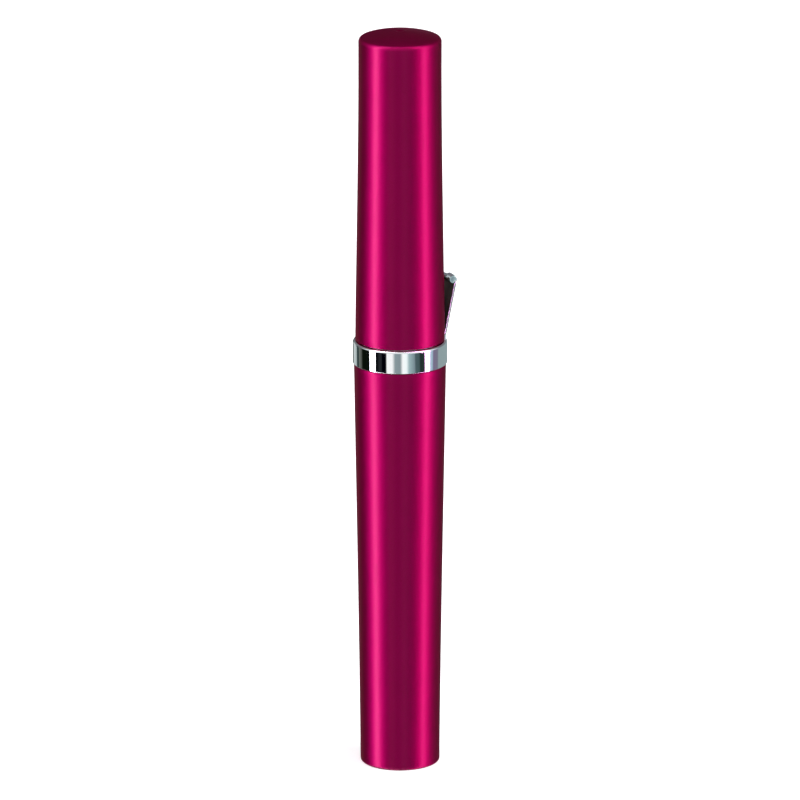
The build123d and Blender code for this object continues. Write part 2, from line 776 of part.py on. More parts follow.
with BuildPart() as positive_contact:
    with BuildSketch(Plane.XY.offset(contact_z)):
        Circle(3.2)
        with Locations((0, -tab_y / 2)):
            Rectangle(strip_width, tab_y + strip_sheet)
    extrude(amount=contact_sheet)
    with BuildSketch(Plane.XY.offset(contact_z)):
        with Locations((0, -tab_y)):
            Rectangle(strip_width, strip_sheet)
    extrude(amount=board_z + 3 - contact_z)
keep(positive_contact.part, "positive_contact")

with BuildPart() as carrier_screws:
    for side_sign in (-1, 1):
        with BuildSketch(Plane.YZ.offset(side_sign * screw_tip_x)):
            with Locations((0, screw_z)):
                Circle(screw_r)
        extrude(amount=side_sign * (screw_seat_x - screw_tip_x))
        with BuildSketch(Plane.YZ.offset(side_sign * screw_seat_x)):
            with Locations((0, screw_z)):
                Circle(screw_head_r)
        extrude(amount=side_sign * 0.5)
keep(carrier_screws.part, "carrier_screws")

# ---- pocket clip: a foot held in the ring and a sprung blade above it ------------------------------------
with BuildPart() as clip_foot:
    with BuildSketch(Plane.XY.offset(foot_z)):
        add(sector(foot_in_r, foot_out_r, clip_from, clip_span))
    extrude(amount=jog_z + clip_sheet - foot_z)
    with BuildSketch(Plane.XY.offset(jog_z)):
        add(sector(foot_in_r, clip_out_r, clip_from, clip_span))
    extrude(amount=clip_sheet)
    with BuildSketch(Plane.XY.offset(jog_z)):
        add(sector(clip_in_r, clip_out_r, clip_from, clip_span))
    extrude(amount=root_z - jog_z)
keep(clip_foot.part, "clip_foot")

blade_z = root_z + clip_root_gap
blade_top = blade_z + clip_rise
lean = clip_rise * sin(radians(clip_lean)) / cos(radians(clip_lean))


def clip_profile(lip):
    """Face of the blade's section in the radial plane, with its top turned in by a lip."""
    with BuildSketch(mode=Mode.PRIVATE) as shape:
        with BuildLine():
            Polyline(
                (clip_in_r, blade_z),
                (clip_out_r, blade_z),
                (clip_out_r + lean, blade_top),
                (clip_in_r + lean - lip, blade_top + 0.12 * lip),
                (clip_in_r + lean - lip, blade_top - clip_sheet + 0.12 * lip),
                (clip_in_r + lean - 0.08, blade_top - clip_sheet),
                close=True,
            )
        make_face()
    return shape.sketch


def radial(angle):
    """Upright plane through the axis, with its x pointing outwards at an angle from +X."""
    a = radians(angle)
    return Plane(origin=(0, 0, 0), x_dir=(cos(a), sin(a), 0), z_dir=(sin(a), -cos(a), 0))


with BuildPart() as pocket_clip:
    with BuildSketch(radial(clip_from)):
        add(clip_profile(clip_lip))
    revolve(axis=Axis.Z, revolution_arc=clip_span)
    with BuildSketch(radial(clip_from)):
        with Locations((clip_out_r + lean - clip_roll_r - 0.04, blade_top - 0.35 * clip_roll_r)):
            Circle(clip_roll_r)
    revolve(axis=Axis.Z, revolution_arc=clip_roll_span)
    with BuildSketch(Plane.XY.offset(blade_top - clip_notch_depth)):
        add(sector(clip_in_r, clip_out_r + 2 * lean, clip_from + clip_roll_span, clip_notch_span))
    extrude(amount=2 * clip_notch_depth, mode=Mode.SUBTRACT)
keep(pocket_clip.part, "pocket_clip")

# ---- cap ------------------------------------------------------------------------------------------------
cap_rim_z = cap_top - cap_dome
with BuildPart() as cap:
    with BuildSketch(Plane.XZ):
        with BuildLine():
            Spline(
                (cap_mouth_r, cap_z),
                (cap_top_r + 0.70 * (cap_mouth_r - cap_top_r), cap_z + 0.23 * cap_length),
                (cap_top_r + 0.31 * (cap_mouth_r - cap_top_r), cap_z + 0.49 * cap_length),
                (cap_top_r, cap_rim_z),
            )
            dome_r = (cap_top_r**2 + cap_dome**2) / (2 * cap_dome)
            RadiusArc((0, cap_top), (cap_top_r, cap_rim_z), dome_r)
            Polyline((0, cap_top), (0, cap_z), (cap_mouth_r, cap_z))
        make_face()
    revolve(axis=Axis.Z)
    rim = cap.edges().filter_by(GeomType.CIRCLE).filter_by_position(Axis.Z, cap_rim_z - 0.1, cap_rim_z + 0.1)
    fillet(rim, cap_edge)
    with BuildSketch(Plane.XZ):
        with BuildLine():
            Polyline(
                (0, cap_z),
                (cap_mouth_bore, cap_z),
                (cap_mouth_bore, collar_top + 0.6),
                (cap_mouth_bore - 0.55, collar_top + 1.6),
                (cap_top_r - cap_wall, cap_rim_z - cap_edge),
            )
            inner_rim_r = cap_top_r - cap_wall
            inner_drop = cap_dome + cap_edge - cap_top_wall
            RadiusArc(
                (0, cap_top - cap_top_wall),
                (inner_rim_r, cap_rim_z - cap_edge),
                (inner_rim_r**2 + inner_drop**2) / (2 * inner_drop),
            )
            Line((0, cap_top - cap_top_wall), (0, cap_z))
        make_face()
    revolve(axis=Axis.Z, mode=Mode.SUBTRACT)
    gate_ball_r = (gate_r**2 + gate_depth**2) / (2 * gate_depth)
    with Locations((0, 0, cap_top + gate_ball_r - gate_depth)):
        Sphere(gate_ball_r, mode=Mode.SUBTRACT)
keep(cap.part, "cap")
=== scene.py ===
"""Looks of a battery heated eyelash curler in pen form: a lacquered tube and cap, a chrome ring with a
pocket clip, and under the cap a white neck with a hooded comb head.

Lengths are in millimetres in the shaping functions and in metres on the finished meshes.
"""
from math import atan2, cos, degrees, hypot, pi, radians, sin, sqrt, tan

import bmesh
import bpy
from mathutils import Matrix, Vector


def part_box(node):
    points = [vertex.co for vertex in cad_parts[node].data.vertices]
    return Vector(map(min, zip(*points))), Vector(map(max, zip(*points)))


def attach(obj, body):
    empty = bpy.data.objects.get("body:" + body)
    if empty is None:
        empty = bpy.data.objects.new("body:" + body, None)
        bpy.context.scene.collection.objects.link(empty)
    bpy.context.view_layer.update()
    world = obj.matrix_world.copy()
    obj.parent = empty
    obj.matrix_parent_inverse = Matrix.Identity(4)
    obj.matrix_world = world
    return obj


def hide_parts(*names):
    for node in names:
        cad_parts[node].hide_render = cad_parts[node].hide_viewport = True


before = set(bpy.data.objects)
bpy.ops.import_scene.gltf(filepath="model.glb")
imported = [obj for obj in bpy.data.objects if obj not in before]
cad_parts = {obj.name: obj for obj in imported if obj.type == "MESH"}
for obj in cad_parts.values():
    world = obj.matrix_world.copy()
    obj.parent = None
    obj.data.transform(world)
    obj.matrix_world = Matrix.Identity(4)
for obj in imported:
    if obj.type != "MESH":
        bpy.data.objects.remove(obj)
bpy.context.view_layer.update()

MM = 0.001
scene = bpy.context.scene


# ---- measures taken from the frame ---------------------------------------------------------------
def low(node, axis=2):
    """Lowest coordinate of a node along an axis, in millimetres."""
    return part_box(node)[0][axis] / MM


def high(node, axis=2):
    """Highest coordinate of a node along an axis, in millimetres."""
    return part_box(node)[1][axis] / MM


tube_top_z = high("body_tube")
tube_top_r = high("body_tube", 0)
cap_z = low("cap")
cap_top_z = high("cap")
cap_mouth_r = high("cap", 0)
collar_top_z = high("collar")
head_z = low("comb_head")
blade_z = low("pocket_clip")

# ---- measures of the shells, as they are made ----------------------------------------------------
base_r = 7.36
base_edge = 0.55
tube_floor = 1.80
tube_bore_r = 6.16
tube_mouth_bore_r = 7.13
bore_cone_z = 60.1
cap_top_r = 7.67
cap_dome = 1.30
cap_edge = 0.90
cap_mouth_bore_r = 7.72
cap_wall = 1.10
cap_top_wall = 1.00
gate_r = 0.95
gate_depth = 0.12
mouth_edge = 0.10

# ---- measures of the pocket clip -----------------------------------------------------------------
clip_sheet = 0.35
clip_from = 10.0
clip_span = 62.0
clip_rise = 11.1
clip_lean = 11.0
clip_roll_span = 15.0
clip_notch_span = 4.6
clip_notch_depth = 1.3
clip_roll_r = 0.70
clip_bead_r = 0.46
clip_bead_drop = 0.5
clip_notch_bead = 0.24
clip_in_r = 8.34

# ---- measures of the hooded nose -----------------------------------------------------------------
nose_start = 5.8
head_height = 30.1
head_r = 6.17
apex_x = -2.2
apex_y = -3.1
side_taper = 1.0
front_taper = 0.9
nose_cut_share = 0.98


# ---- shader building -----------------------------------------------------------------------------
class Wire:
    """An output of a shader node. Sums and products of wires add Math nodes."""

    def __init__(self, shader, socket):
        self.shader = shader
        self.socket = socket

    def maths(self, operation, *values):
        return self.shader.node("Math", {"operation": operation}, dict(enumerate(values)))

    def __add__(self, other):
        return self.maths("ADD", self, other)

    __radd__ = __add__

    def __sub__(self, other):
        return self.maths("SUBTRACT", self, other)

    def __rsub__(self, other):
        return self.maths("SUBTRACT", other, self)

    def __mul__(self, other):
        return self.maths("MULTIPLY", self, other)

    __rmul__ = __mul__

    def __abs__(self):
        return self.maths("ABSOLUTE", self)


class Shader:
    """A node tree in the making, of a material or of the world."""

    def __init__(self, tree):
        self.tree = tree
        tree.nodes.clear()

    def node(self, kind, settings, sockets, out=0):
        """Adds a node: its settings first, then a value or a wire for each socket. Returns its output."""
        made = self.tree.nodes.new("ShaderNode" + kind)
        for name, value in settings.items():
            if name == "stops":
                ramp = made.color_ramp
                for place, colour in value[2:]:
                    ramp.elements.new(place)
                for element, (place, colour) in zip(ramp.elements, value):
                    element.position = place
                for element, (place, colour) in zip(ramp.elements, value):
                    element.color = (*colour, 1.0)
            else:
                setattr(made, name, value)
        for name, value in sockets.items():
            if isinstance(value, Wire):
                self.tree.links.new(value.socket, made.inputs[name])
            else:
                made.inputs[name].default_value = value
        return Wire(self, made.outputs[out]) if made.outputs else made

    def place(self):
        """Object coordinates of the point."""
        return self.node("TexCoord", {}, {}, "Object")

    def stretched(self, scale):
        """Object coordinates, scaled along each axis."""
        return self.node("Mapping", {}, {"Vector": self.place(), "Scale": scale})

    def noise(self, scale, detail=2.0, roughness=0.5, vector=None):
        return self.node(
            "TexNoise",
            {},
            {"Vector": vector or self.place(), "Scale": scale, "Detail": detail, "Roughness": roughness},
        )

    def split(self, vector):
        """The three coordinates of a vector."""
        made = self.node("SeparateXYZ", {}, {0: vector})
        return [Wire(self, socket) for socket in made.socket.node.outputs]

    def fade(self, value, start, end, first=0.0, last=1.0):
        """Goes smoothly from first to last while the value goes from start to end."""
        return self.node(
            "MapRange",
            {"interpolation_type": "SMOOTHSTEP"},
            {"Value": value, "From Min": start, "From Max": end, "To Min": first, "To Max": last},
        )

    def mix(self, share, one, two):
        """Mixes two colours by a share."""
        return self.node("Mix", {"data_type": "RGBA"}, {0: share, 6: one, 7: two}, 2)

    def bump(self, height, depth, strength=1.0, normal=None):
        sockets = {"Height": height, "Distance": depth, "Strength": strength}
        if normal:
            sockets["Normal"] = normal
        return self.node("Bump", {}, sockets)


def rgb(red, green, blue):
    return (red, green, blue, 1.0)


def material(name, build):
    """Makes a material, with build(shader) giving the sockets of its Principled BSDF."""
    made = bpy.data.materials.new(name)
    made.use_nodes = True
    shader = Shader(made.node_tree)
    surface = shader.node("BsdfPrincipled", {}, build(shader))
    shader.node("OutputMaterial", {}, {"Surface": surface})
    return made


def lacquer_sockets(shader):
    """Metallic magenta lacquer: candy colour over fine flakes, under a soft clear coat."""
    flakes = shader.node("TexVoronoi", {}, {"Vector": shader.place(), "Scale": 9000.0}, "Color")
    sparkle = shader.node("SeparateColor", {}, {0: flakes})
    cloud = shader.noise(160.0, 3.0)
    spray = shader.mix(cloud, rgb(0.275, 0.0, 0.057), rgb(0.320, 0.0, 0.069))
    colour = shader.mix(sparkle * 0.20, spray, rgb(0.48, 0.0, 0.14))
    height = shader.split(shader.place())[2]
    scuffs = shader.noise(1.0, 4.0, 0.6, shader.stretched((2600.0, 2600.0, 900.0)))
    foot = shader.fade(height + scuffs * 0.0006, 0.0010, 0.0004)
    handling = shader.fade(shader.noise(1.0, 3.0, 0.6, shader.stretched((900.0, 900.0, 120.0))), 0.60, 0.80)
    peel = shader.bump(shader.noise(1100.0, 1.0), 0.0000040)
    return {
        "Base Color": shader.mix(foot * 0.45, colour, rgb(0.70, 0.10, 0.24)),
        "Metallic": 1.0,
        "Roughness": 0.44 + handling * 0.03 + foot * 0.12 + sparkle * 0.03,
        "Specular Tint": rgb(0.42, 0.0, 0.26),
        "Coat Weight": 0.12,
        "Coat Roughness": 0.24,
        "Coat IOR": 1.50,
        "Normal": shader.bump(sparkle, 0.0000012, 1.0, peel),
    }


def chrome_sockets(shader):
    """Bright chrome with faint polishing marks and finger haze; the inward face of the clip's blade is
    duller and painted dark as shade, with a painted shadow band under its bead.
    """
    marks = shader.noise(1.0, 3.0, 0.6, shader.stretched((900.0, 900.0, 14000.0)))
    haze = shader.fade(shader.noise(420.0, 3.0, 0.6), 0.45, 0.75)
    ripple = shader.noise(240.0, 1.0)
    spot = shader.place()
    height = shader.split(spot)[2]
    facing = shader.node("NewGeometry", {}, {}, "Normal")
    along = shader.node("VectorMath", {"operation": "DOT_PRODUCT"}, {0: facing, 1: spot}, "Value")
    outward = (along - shader.split(facing)[2] * height) * 1000.0
    crest = (blade_z + clip_rise) * MM
    under_bead = shader.fade(height, crest - 0.0010, crest - 0.0013)
    # back: the blade's inward face below the bead, made duller and painted dark as shade where it faces the
    # cap.
    back = shader.fade(outward, -2.0, -4.0) * under_bead
    # shade: a painted near-black shadow band on the inward face, just under the bead.
    shade = shader.fade(height, crest - 0.0024, crest - 0.0014)
    # The inward face's dark colour is painted shade, going to a painted near-black shadow under the bead.
    painted_shade_back = shader.mix(shade, rgb(0.17, 0.16, 0.14), rgb(0.01, 0.01, 0.01))
    bright = shader.mix(haze, rgb(0.93, 0.94, 0.95), rgb(0.88, 0.90, 0.91))
    return {
        "Base Color": shader.mix(back, bright, painted_shade_back),
        "Metallic": 1.0 - back * 0.45,
        "Roughness": 0.035 + haze * 0.03 + marks * 0.02 + back * 0.26,
        "Normal": shader.bump(marks, 0.00000025, 1.0, shader.bump(ripple, 0.0000015)),
    }


def white_plastic(tone, shade, roughness, grain_depth, coat):
    """Sockets of a moulded white plastic, from polished to satin by its roughness and grain."""

    def sockets(shader):
        flow = shader.noise(1.0, 3.0, 0.5, shader.stretched((260.0, 260.0, 90.0)))
        grain = shader.noise(9000.0, 2.0)
        sink = shader.noise(330.0, 1.0)
        rub = shader.fade(shader.noise(700.0, 4.0, 0.6), 0.5, 0.8)
        return {
            "Base Color": shader.mix(flow, tone, shade),
            "Roughness": roughness + rub * 0.08 + grain * 0.05,
            "IOR": 1.53,
            "Specular IOR Level": 0.5,
            "Coat Weight": coat,
            "Coat Roughness": 0.12,
            "Normal": shader.bump(grain, grain_depth, 1.0, shader.bump(sink, 0.000004)),
        }

    return sockets


def plain_finish(tone, shade, metallic, roughness, grain, depth, stretch=(1.0, 1.0, 1.0)):
    """Sockets of an inner part: a colour that wanders a little, with a grain in its gloss and bump."""

    def sockets(shader):
        pattern = shader.noise(grain, 3.0, 0.55, shader.stretched(stretch))
        return {
            "Base Color": shader.mix(pattern, tone, shade),
            "Metallic": metallic,
            "Roughness": roughness + pattern * 0.12,
            "Normal": shader.bump(pattern, depth),
        }

    return sockets


def cell_sockets(shader):
    """Dark wrapped jacket of the cell, with bare steel at both ends."""
    height = shader.split(shader.place())[2]
    foot = low("battery") * MM
    top = high("battery") * MM
    steel = shader.fade(height, foot + 0.0009, foot + 0.0010, 1.0, 0.0) + shader.fade(
        height, top - 0.0021, top - 0.0020
    )
    weave = shader.noise(1.0, 3.0, 0.6, shader.stretched((3000.0, 3000.0, 600.0)))
    band = shader.fade(height, top - 0.0131, top - 0.0130)
    jacket = shader.mix(band, rgb(0.030, 0.033, 0.040), rgb(0.36, 0.37, 0.39))
    return {
        "Base Color": shader.mix(steel, jacket, rgb(0.72, 0.71, 0.69)),
        "Metallic": steel * 0.75 + 0.25,
        "Roughness": 0.28 + weave * 0.12,
        "Coat Weight": 0.5 - steel * 0.5,
        "Normal": shader.bump(weave, 0.000002),
    }


def board_sockets(shader):
    """Green solder mask with tinned pads."""
    x, y, z = shader.split(shader.place())
    rows = shader.node("Math", {"operation": "PINGPONG"}, {0: z, 1: 0.0016})
    lines = shader.node("Math", {"operation": "PINGPONG"}, {0: y, 1: 0.0009})
    pad = shader.fade(rows, 0.0010, 0.0011) * shader.fade(lines, 0.0005, 0.0006)
    glass = shader.noise(4000.0, 2.0)
    mask = shader.mix(glass, rgb(0.010, 0.13, 0.035), rgb(0.02, 0.20, 0.055))
    return {
        "Base Color": shader.mix(pad, mask, rgb(0.75, 0.74, 0.70)),
        "Metallic": pad,
        "Roughness": 0.35 + glass * 0.1,
        "Normal": shader.bump(pad + glass * 0.1, 0.00002),
    }


materials = {
    "magenta_lacquer": material("magenta_lacquer", lacquer_sockets),
    "bright_chrome": material("bright_chrome", chrome_sockets),
    "white_gloss": material(
        "white_gloss", white_plastic(rgb(0.855, 0.87, 0.905), rgb(0.83, 0.845, 0.885), 0.30, 0.0000012, 0.15)
    ),
    "white_satin": material(
        "white_satin", white_plastic(rgb(0.83, 0.84, 0.885), rgb(0.80, 0.81, 0.86), 0.62, 0.0000045, 0.0)
    ),
    "heat_resin": material(
        "heat_resin",
        plain_finish(rgb(0.42, 0.33, 0.31), rgb(0.36, 0.28, 0.26), 0.0, 0.50, 2600.0, 0.000004),
    ),
    "silicone": material(
        "silicone",
        plain_finish(rgb(0.74, 0.56, 0.52), rgb(0.67, 0.50, 0.46), 0.0, 0.55, 3200.0, 0.000006),
    ),
    "heater_metal": material(
        "heater_metal",
        plain_finish(
            rgb(0.34, 0.25, 0.245), rgb(0.28, 0.21, 0.205), 0.25, 0.45, 1.0, 0.000002, (400, 400, 5000)
        ),
    ),
    "heater_film": material(
        "heater_film",
        plain_finish(rgb(0.50, 0.24, 0.05), rgb(0.42, 0.19, 0.035), 0.0, 0.28, 900.0, 0.000003),
    ),
    "red_insulation": material(
        "red_insulation",
        plain_finish(rgb(0.55, 0.015, 0.015), rgb(0.46, 0.01, 0.01), 0.0, 0.40, 2000.0, 0.000004),
    ),
    "black_insulation": material(
        "black_insulation",
        plain_finish(rgb(0.018, 0.018, 0.018), rgb(0.026, 0.026, 0.026), 0.0, 0.42, 2000.0, 0.000004),
    ),
    "board_green": material("board_green", board_sockets),
    "black_resin": material(
        "black_resin",
        plain_finish(rgb(0.025, 0.025, 0.027), rgb(0.04, 0.04, 0.042), 0.0, 0.45, 3500.0, 0.000005),
    ),
    "switch_steel": material(
        "switch_steel",
        plain_finish(
            rgb(0.62, 0.62, 0.62), rgb(0.52, 0.52, 0.53), 1.0, 0.30, 1.0, 0.000002, (500, 500, 7000)
        ),
    ),
    "cell_jacket": material("cell_jacket", cell_sockets),
    "spring_steel": material(
        "spring_steel",
        plain_finish(
            rgb(0.72, 0.70, 0.66), rgb(0.62, 0.60, 0.57), 1.0, 0.22, 1.0, 0.000001, (900, 900, 9000)
        ),
    ),
    "screw_steel": material(
        "screw_steel",
        plain_finish(rgb(0.60, 0.60, 0.61), rgb(0.50, 0.50, 0.52), 1.0, 0.30, 3500.0, 0.000002),
    ),
}


# ---- mesh building -------------------------------------------------------------------------------
def piece(name, points, faces, finish, sharp=35.0):
    """A smooth-shaded object made from points in millimetres, with edges sharper than an angle kept."""
    mesh = bpy.data.meshes.new(name)
    mesh.from_pydata([Vector(p) * MM for p in points], [], faces)
    return dressed(name, mesh, finish, sharp)


def dressed(name, mesh, finish, sharp=35.0):
    """Puts a mesh in metres into the scene under a name, turned right side out, with its finish."""
    shape = bmesh.new()
    shape.from_mesh(mesh)
    bmesh.ops.remove_doubles(shape, verts=shape.verts, dist=0.0005 * MM)
    bmesh.ops.dissolve_degenerate(shape, edges=shape.edges, dist=0.0002 * MM)
    bmesh.ops.recalc_face_normals(shape, faces=shape.faces)
    shape.to_mesh(mesh)
    shape.free()
    mesh.shade_smooth()
    mesh.set_sharp_from_angle(angle=radians(sharp))
    mesh.materials.clear()
    mesh.materials.append(materials[finish])
    made = bpy.data.objects.new(name, mesh)
    scene.collection.objects.link(made)
    return made


def settled(made):
    """The object with its modifiers worked into a plain mesh."""
    graph = bpy.context.evaluated_depsgraph_get()
    graph.update()
    mesh = bpy.data.meshes.new_from_object(made.evaluated_get(graph))
    made.modifiers.clear()
    made.data = mesh
    return made


def bare_copy(node):
    """Points in metres and faces of a node's own mesh, with its loose triangles joined."""
    shape = bmesh.new()
    shape.from_mesh(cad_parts[node].data)
    bmesh.ops.remove_doubles(shape, verts=shape.verts, dist=0.0008 * MM)
    bmesh.ops.dissolve_degenerate(shape, edges=shape.edges, dist=0.0004 * MM)
    shape.verts.index_update()
    points = [v.co.copy() for v in shape.verts]
    faces = [[v.index for v in face.verts] for face in shape.faces]
    shape.free()
    return points, faces


def eased(node, name, finish, edge, sharp=30.0):
    """A node's shape with its sharp edges eased by a small bevel."""
    points, faces = bare_copy(node)
    mesh = bpy.data.meshes.new(name)
    mesh.from_pydata(points, [], faces)
    made = dressed(name, mesh, finish, sharp)
    if edge:
        bevel = made.modifiers.new("eased edges", "BEVEL")
        bevel.width = edge * MM
        bevel.segments = 2
        bevel.limit_method = "ANGLE"
        bevel.angle_limit = radians(38)
        bevel.use_clamp_overlap = True
        bevel.harden_normals = True
    return made


def moulded(node, name, finish, grid, passes, triangles, reshape=None):
    """A node's shape as it comes out of a mould, with every edge rounded: an even mesh, smoothed."""
    points, faces = bare_copy(node)
    mesh = bpy.data.meshes.new(name)
    mesh.from_pydata([p / MM for p in points], [], faces)
    made = bpy.data.objects.new(name, mesh)
    scene.collection.objects.link(made)
    even = made.modifiers.new("even", "REMESH")
    even.mode = "VOXEL"
    even.voxel_size = grid
    settled(made)
    if reshape:
        for vertex in made.data.vertices:
            vertex.co = reshape(vertex.co)
    soften = made.modifiers.new("soften", "SMOOTH")
    soften.factor = 0.5
    soften.iterations = passes
    now = sum(len(face.vertices) - 2 for face in made.data.polygons)
    if now > triangles:
        thin = made.modifiers.new("thin", "DECIMATE")
        thin.ratio = triangles / now
    settled(made)
    made.data.transform(Matrix.Scale(MM, 4))
    mesh = made.data
    bpy.data.objects.remove(made)
    return dressed(name, mesh, finish, 60.0)


def arc_corner(before, corner, after, radius, steps=6):
    """Points of the arc that rounds a corner of an outline."""
    corner = Vector(corner)
    back = (Vector(before) - corner).normalized()
    ahead = (Vector(after) - corner).normalized()
    half = back.angle(ahead) / 2
    reach = radius / tan(half)
    centre = corner + (back + ahead).normalized() * (radius / sin(half))
    first = corner + back * reach - centre
    last = corner + ahead * reach - centre
    turn = first.angle(last)
    points = []
    for step in range(steps + 1):
        share = step / steps
        arm = (first * sin((1 - share) * turn) + last * sin(share * turn)) / sin(turn)
        points.append(tuple(centre + arm))
    return points


def through(knots, steps):
    """Points on the cubic curve that gives a radius for each height and passes through four knots."""
    points = []
    for step in range(steps + 1):
        z = knots[0][1] + (knots[3][1] - knots[0][1]) * step / steps
        r = 0.0
        for i, (radius, height) in enumerate(knots):
            weight = 1.0
            for j, (_, other) in enumerate(knots):
                if j != i:
                    weight *= (z - other) / (height - other)
            r += radius * weight
        points.append((r, z))
    return points


def turned_shell(name, outline, finish, segments=192):
    """A shell of revolution whose outline starts and ends on the axis."""
    points = []
    rows = []
    for r, z in outline:
        if r < 1e-6:
            rows.append([len(points)])
            points.append((0, 0, z))
        else:
            rows.append(list(range(len(points), len(points) + segments)))
            turns = [2 * pi * k / segments for k in range(segments)]
            points += [(r * cos(turn), r * sin(turn), z) for turn in turns]
    faces = []
    for one, two in zip(rows, rows[1:]):
        for k in range(segments):
            n = (k + 1) % segments
            if len(one) == 1:
                faces.append((one[0], two[k], two[n]))
            elif len(two) == 1:
                faces.append((one[k], two[0], one[n]))
            else:
                faces.append((one[k], two[k], two[n], one[n]))
    return piece(name, points, faces, finish)


# ---- lacquered shells ----------------------------------------------------------------------------
def lower_tube():
    """The slightly bellied tube with its eased foot and plain bore."""
    grow = tube_top_r - base_r
    side = through(
        [
            (base_r, 0),
            (base_r + 0.28 * grow, 0.35 * tube_top_z),
            (base_r + 0.65 * grow, 0.69 * tube_top_z),
            (tube_top_r, tube_top_z),
        ],
        60,
    )
    foot = arc_corner((0, 0), (base_r, 0), side[1], base_edge, 10)
    side = [p for p in side if p[1] > base_edge + 0.2 and p[1] < tube_top_z - 0.3]
    mouth = arc_corner(side[-1], (tube_top_r, tube_top_z), (0, tube_top_z), mouth_edge, 3)
    rim = (tube_mouth_bore_r, tube_top_z)
    inner = arc_corner((tube_top_r, tube_top_z), rim, (tube_mouth_bore_r, 0), mouth_edge, 3)
    outline = [(0, 0), (base_r / 2, 0)] + foot + side + mouth + inner
    outline += [(tube_mouth_bore_r, bore_cone_z), (tube_bore_r, tube_floor), (0, tube_floor)]
    return turned_shell("lower_tube_shell", outline, "magenta_lacquer")


def pull_off_cap():
    """The tapered cap with its shallow dome, the rounded rim, the gate dimple and a stepped mouth."""
    length = cap_top_z - cap_z
    drop = cap_mouth_r - cap_top_r
    rim_z = cap_top_z - cap_dome
    side = through(
        [
            (cap_mouth_r, cap_z),
            (cap_top_r + 0.70 * drop, cap_z + 0.23 * length),
            (cap_top_r + 0.31 * drop, cap_z + 0.49 * length),
            (cap_top_r, rim_z),
        ],
        60,
    )
    dome_r = (cap_top_r**2 + cap_dome**2) / (2 * cap_dome)
    dome_centre_z = cap_top_z - dome_r

    def dome(r):
        return (r, dome_centre_z + sqrt(dome_r**2 - r**2))

    rim = arc_corner(side[-2], side[-1], dome(cap_top_r - 1.0), cap_edge, 14)
    dome_steps = 30
    crown = [dome(rim[-1][0] * (1 - step / dome_steps)) for step in range(1, dome_steps + 1)]
    crown = [p for p in crown if p[0] > gate_r * 1.25]
    dimple = []
    for step in range(13):
        r = gate_r * 1.2 * (1 - step / 12)
        fall = 0.5 + 0.5 * cos(pi * min(r / gate_r, 1.0))
        lip = 0.025 * sin(pi * max(0.0, min((r / gate_r - 0.7) / 0.5, 1.0)))
        dimple.append((r, dome(r)[1] - gate_depth * fall + lip))
    mouth_out = arc_corner((0, cap_z), (cap_mouth_r, cap_z), side[1], mouth_edge, 3)
    bore = (cap_mouth_bore_r, cap_z)
    mouth_in = arc_corner((cap_mouth_bore_r, cap_z + 2), bore, (cap_mouth_r, cap_z), mouth_edge, 3)
    inner_r = cap_top_r - cap_wall
    inner = [
        (0, cap_top_z - cap_top_wall),
        (inner_r * 0.6, cap_top_z - cap_top_wall - 0.25),
        (inner_r, rim_z - cap_edge),
        (cap_mouth_bore_r - 0.55, collar_top_z + 1.6),
        (cap_mouth_bore_r, collar_top_z + 0.6),
    ]
    side = [p for p in side if p[1] > cap_z + 0.3 and p[1] < rim[0][1] - 0.05]
    outline = inner + mouth_in + mouth_out + side + rim + crown + dimple
    return turned_shell("cap_shell", outline, "magenta_lacquer")


# ---- pocket clip ---------------------------------------------------------------------------------
def blade_section(top, bead, share):
    """Closed section of the blade in its radial plane: a leaning sheet with a bead along its top."""
    slope = tan(radians(clip_lean))
    half = clip_sheet * share / 2
    middle = clip_in_r + clip_sheet / 2
    centre_z = top - bead
    bead = bead * (0.4 + 0.6 * share)
    centre_r = middle + (centre_z - blade_z) * slope - bead + clip_sheet / 2
    neck_z = centre_z - bead * 0.75
    straight = 14
    heights = [blade_z + (neck_z - blade_z) * step / straight for step in range(straight + 1)]
    outer = [(middle + half + (z - blade_z) * slope, z) for z in heights]
    inner = [(middle - half + (z - blade_z) * slope, z) for z in heights]
    first = atan2(outer[-1][1] - centre_z, outer[-1][0] - centre_r)
    last = atan2(inner[-1][1] - 0.15 - centre_z, inner[-1][0] - 0.35 - centre_r) + 2 * pi
    turns = 28
    curl = []
    for step in range(turns + 1):
        angle = first + (last - first) * step / turns
        curl.append((centre_r + bead * cos(angle), centre_z + bead * sin(angle)))
    return outer[:-1] + curl + inner[::-1]


def pocket_clip():
    """The sprung blade: a curved sheet that leans out, beaded along its top, with a notch near one side."""
    top = blade_z + clip_rise
    notch_from = clip_from + clip_roll_span
    notch_to = notch_from + clip_notch_span
    clip_to = clip_from + clip_span
    edge = degrees(0.6 * clip_sheet / clip_in_r)
    columns = []
    for share in (0.25, 0.6, 0.85, 0.96):
        columns.append((clip_from + edge * (1 - sqrt(1 - (1 - share) ** 2)), top, clip_roll_r, share))
    for step in range(1, 15):
        columns.append((clip_from + edge + (clip_roll_span - edge) * step / 14, top, clip_roll_r, 1.0))
    columns.append((notch_from + 0.3, top - clip_notch_depth, clip_notch_bead, 1.0))
    columns.append((notch_to - 0.3, top - clip_notch_depth, clip_notch_bead, 1.0))
    second = top - clip_bead_drop
    reach = clip_to - edge - notch_to
    for step in range(37):
        columns.append((notch_to + reach * step / 36, second, clip_bead_r, 1.0))
    for share in (0.96, 0.85, 0.6, 0.25):
        columns.append((clip_to - edge * (1 - sqrt(1 - (1 - share) ** 2)), second, clip_bead_r, share))
    points = []
    for angle, crest, bead, share in columns:
        for r, z in blade_section(crest, bead, share):
            points.append((r * cos(radians(angle)), r * sin(radians(angle)), z))
    count = len(points) // len(columns)
    faces = []
    for column in range(len(columns) - 1):
        for k in range(count):
            n = (k + 1) % count
            one = column * count
            two = one + count
            faces.append((one + k, one + n, two + n, two + k))
    faces.append(tuple(range(count)))
    faces.append(tuple(range(len(points) - count, len(points))))
    return piece("clip_blade", points, faces, "bright_chrome", 40.0)


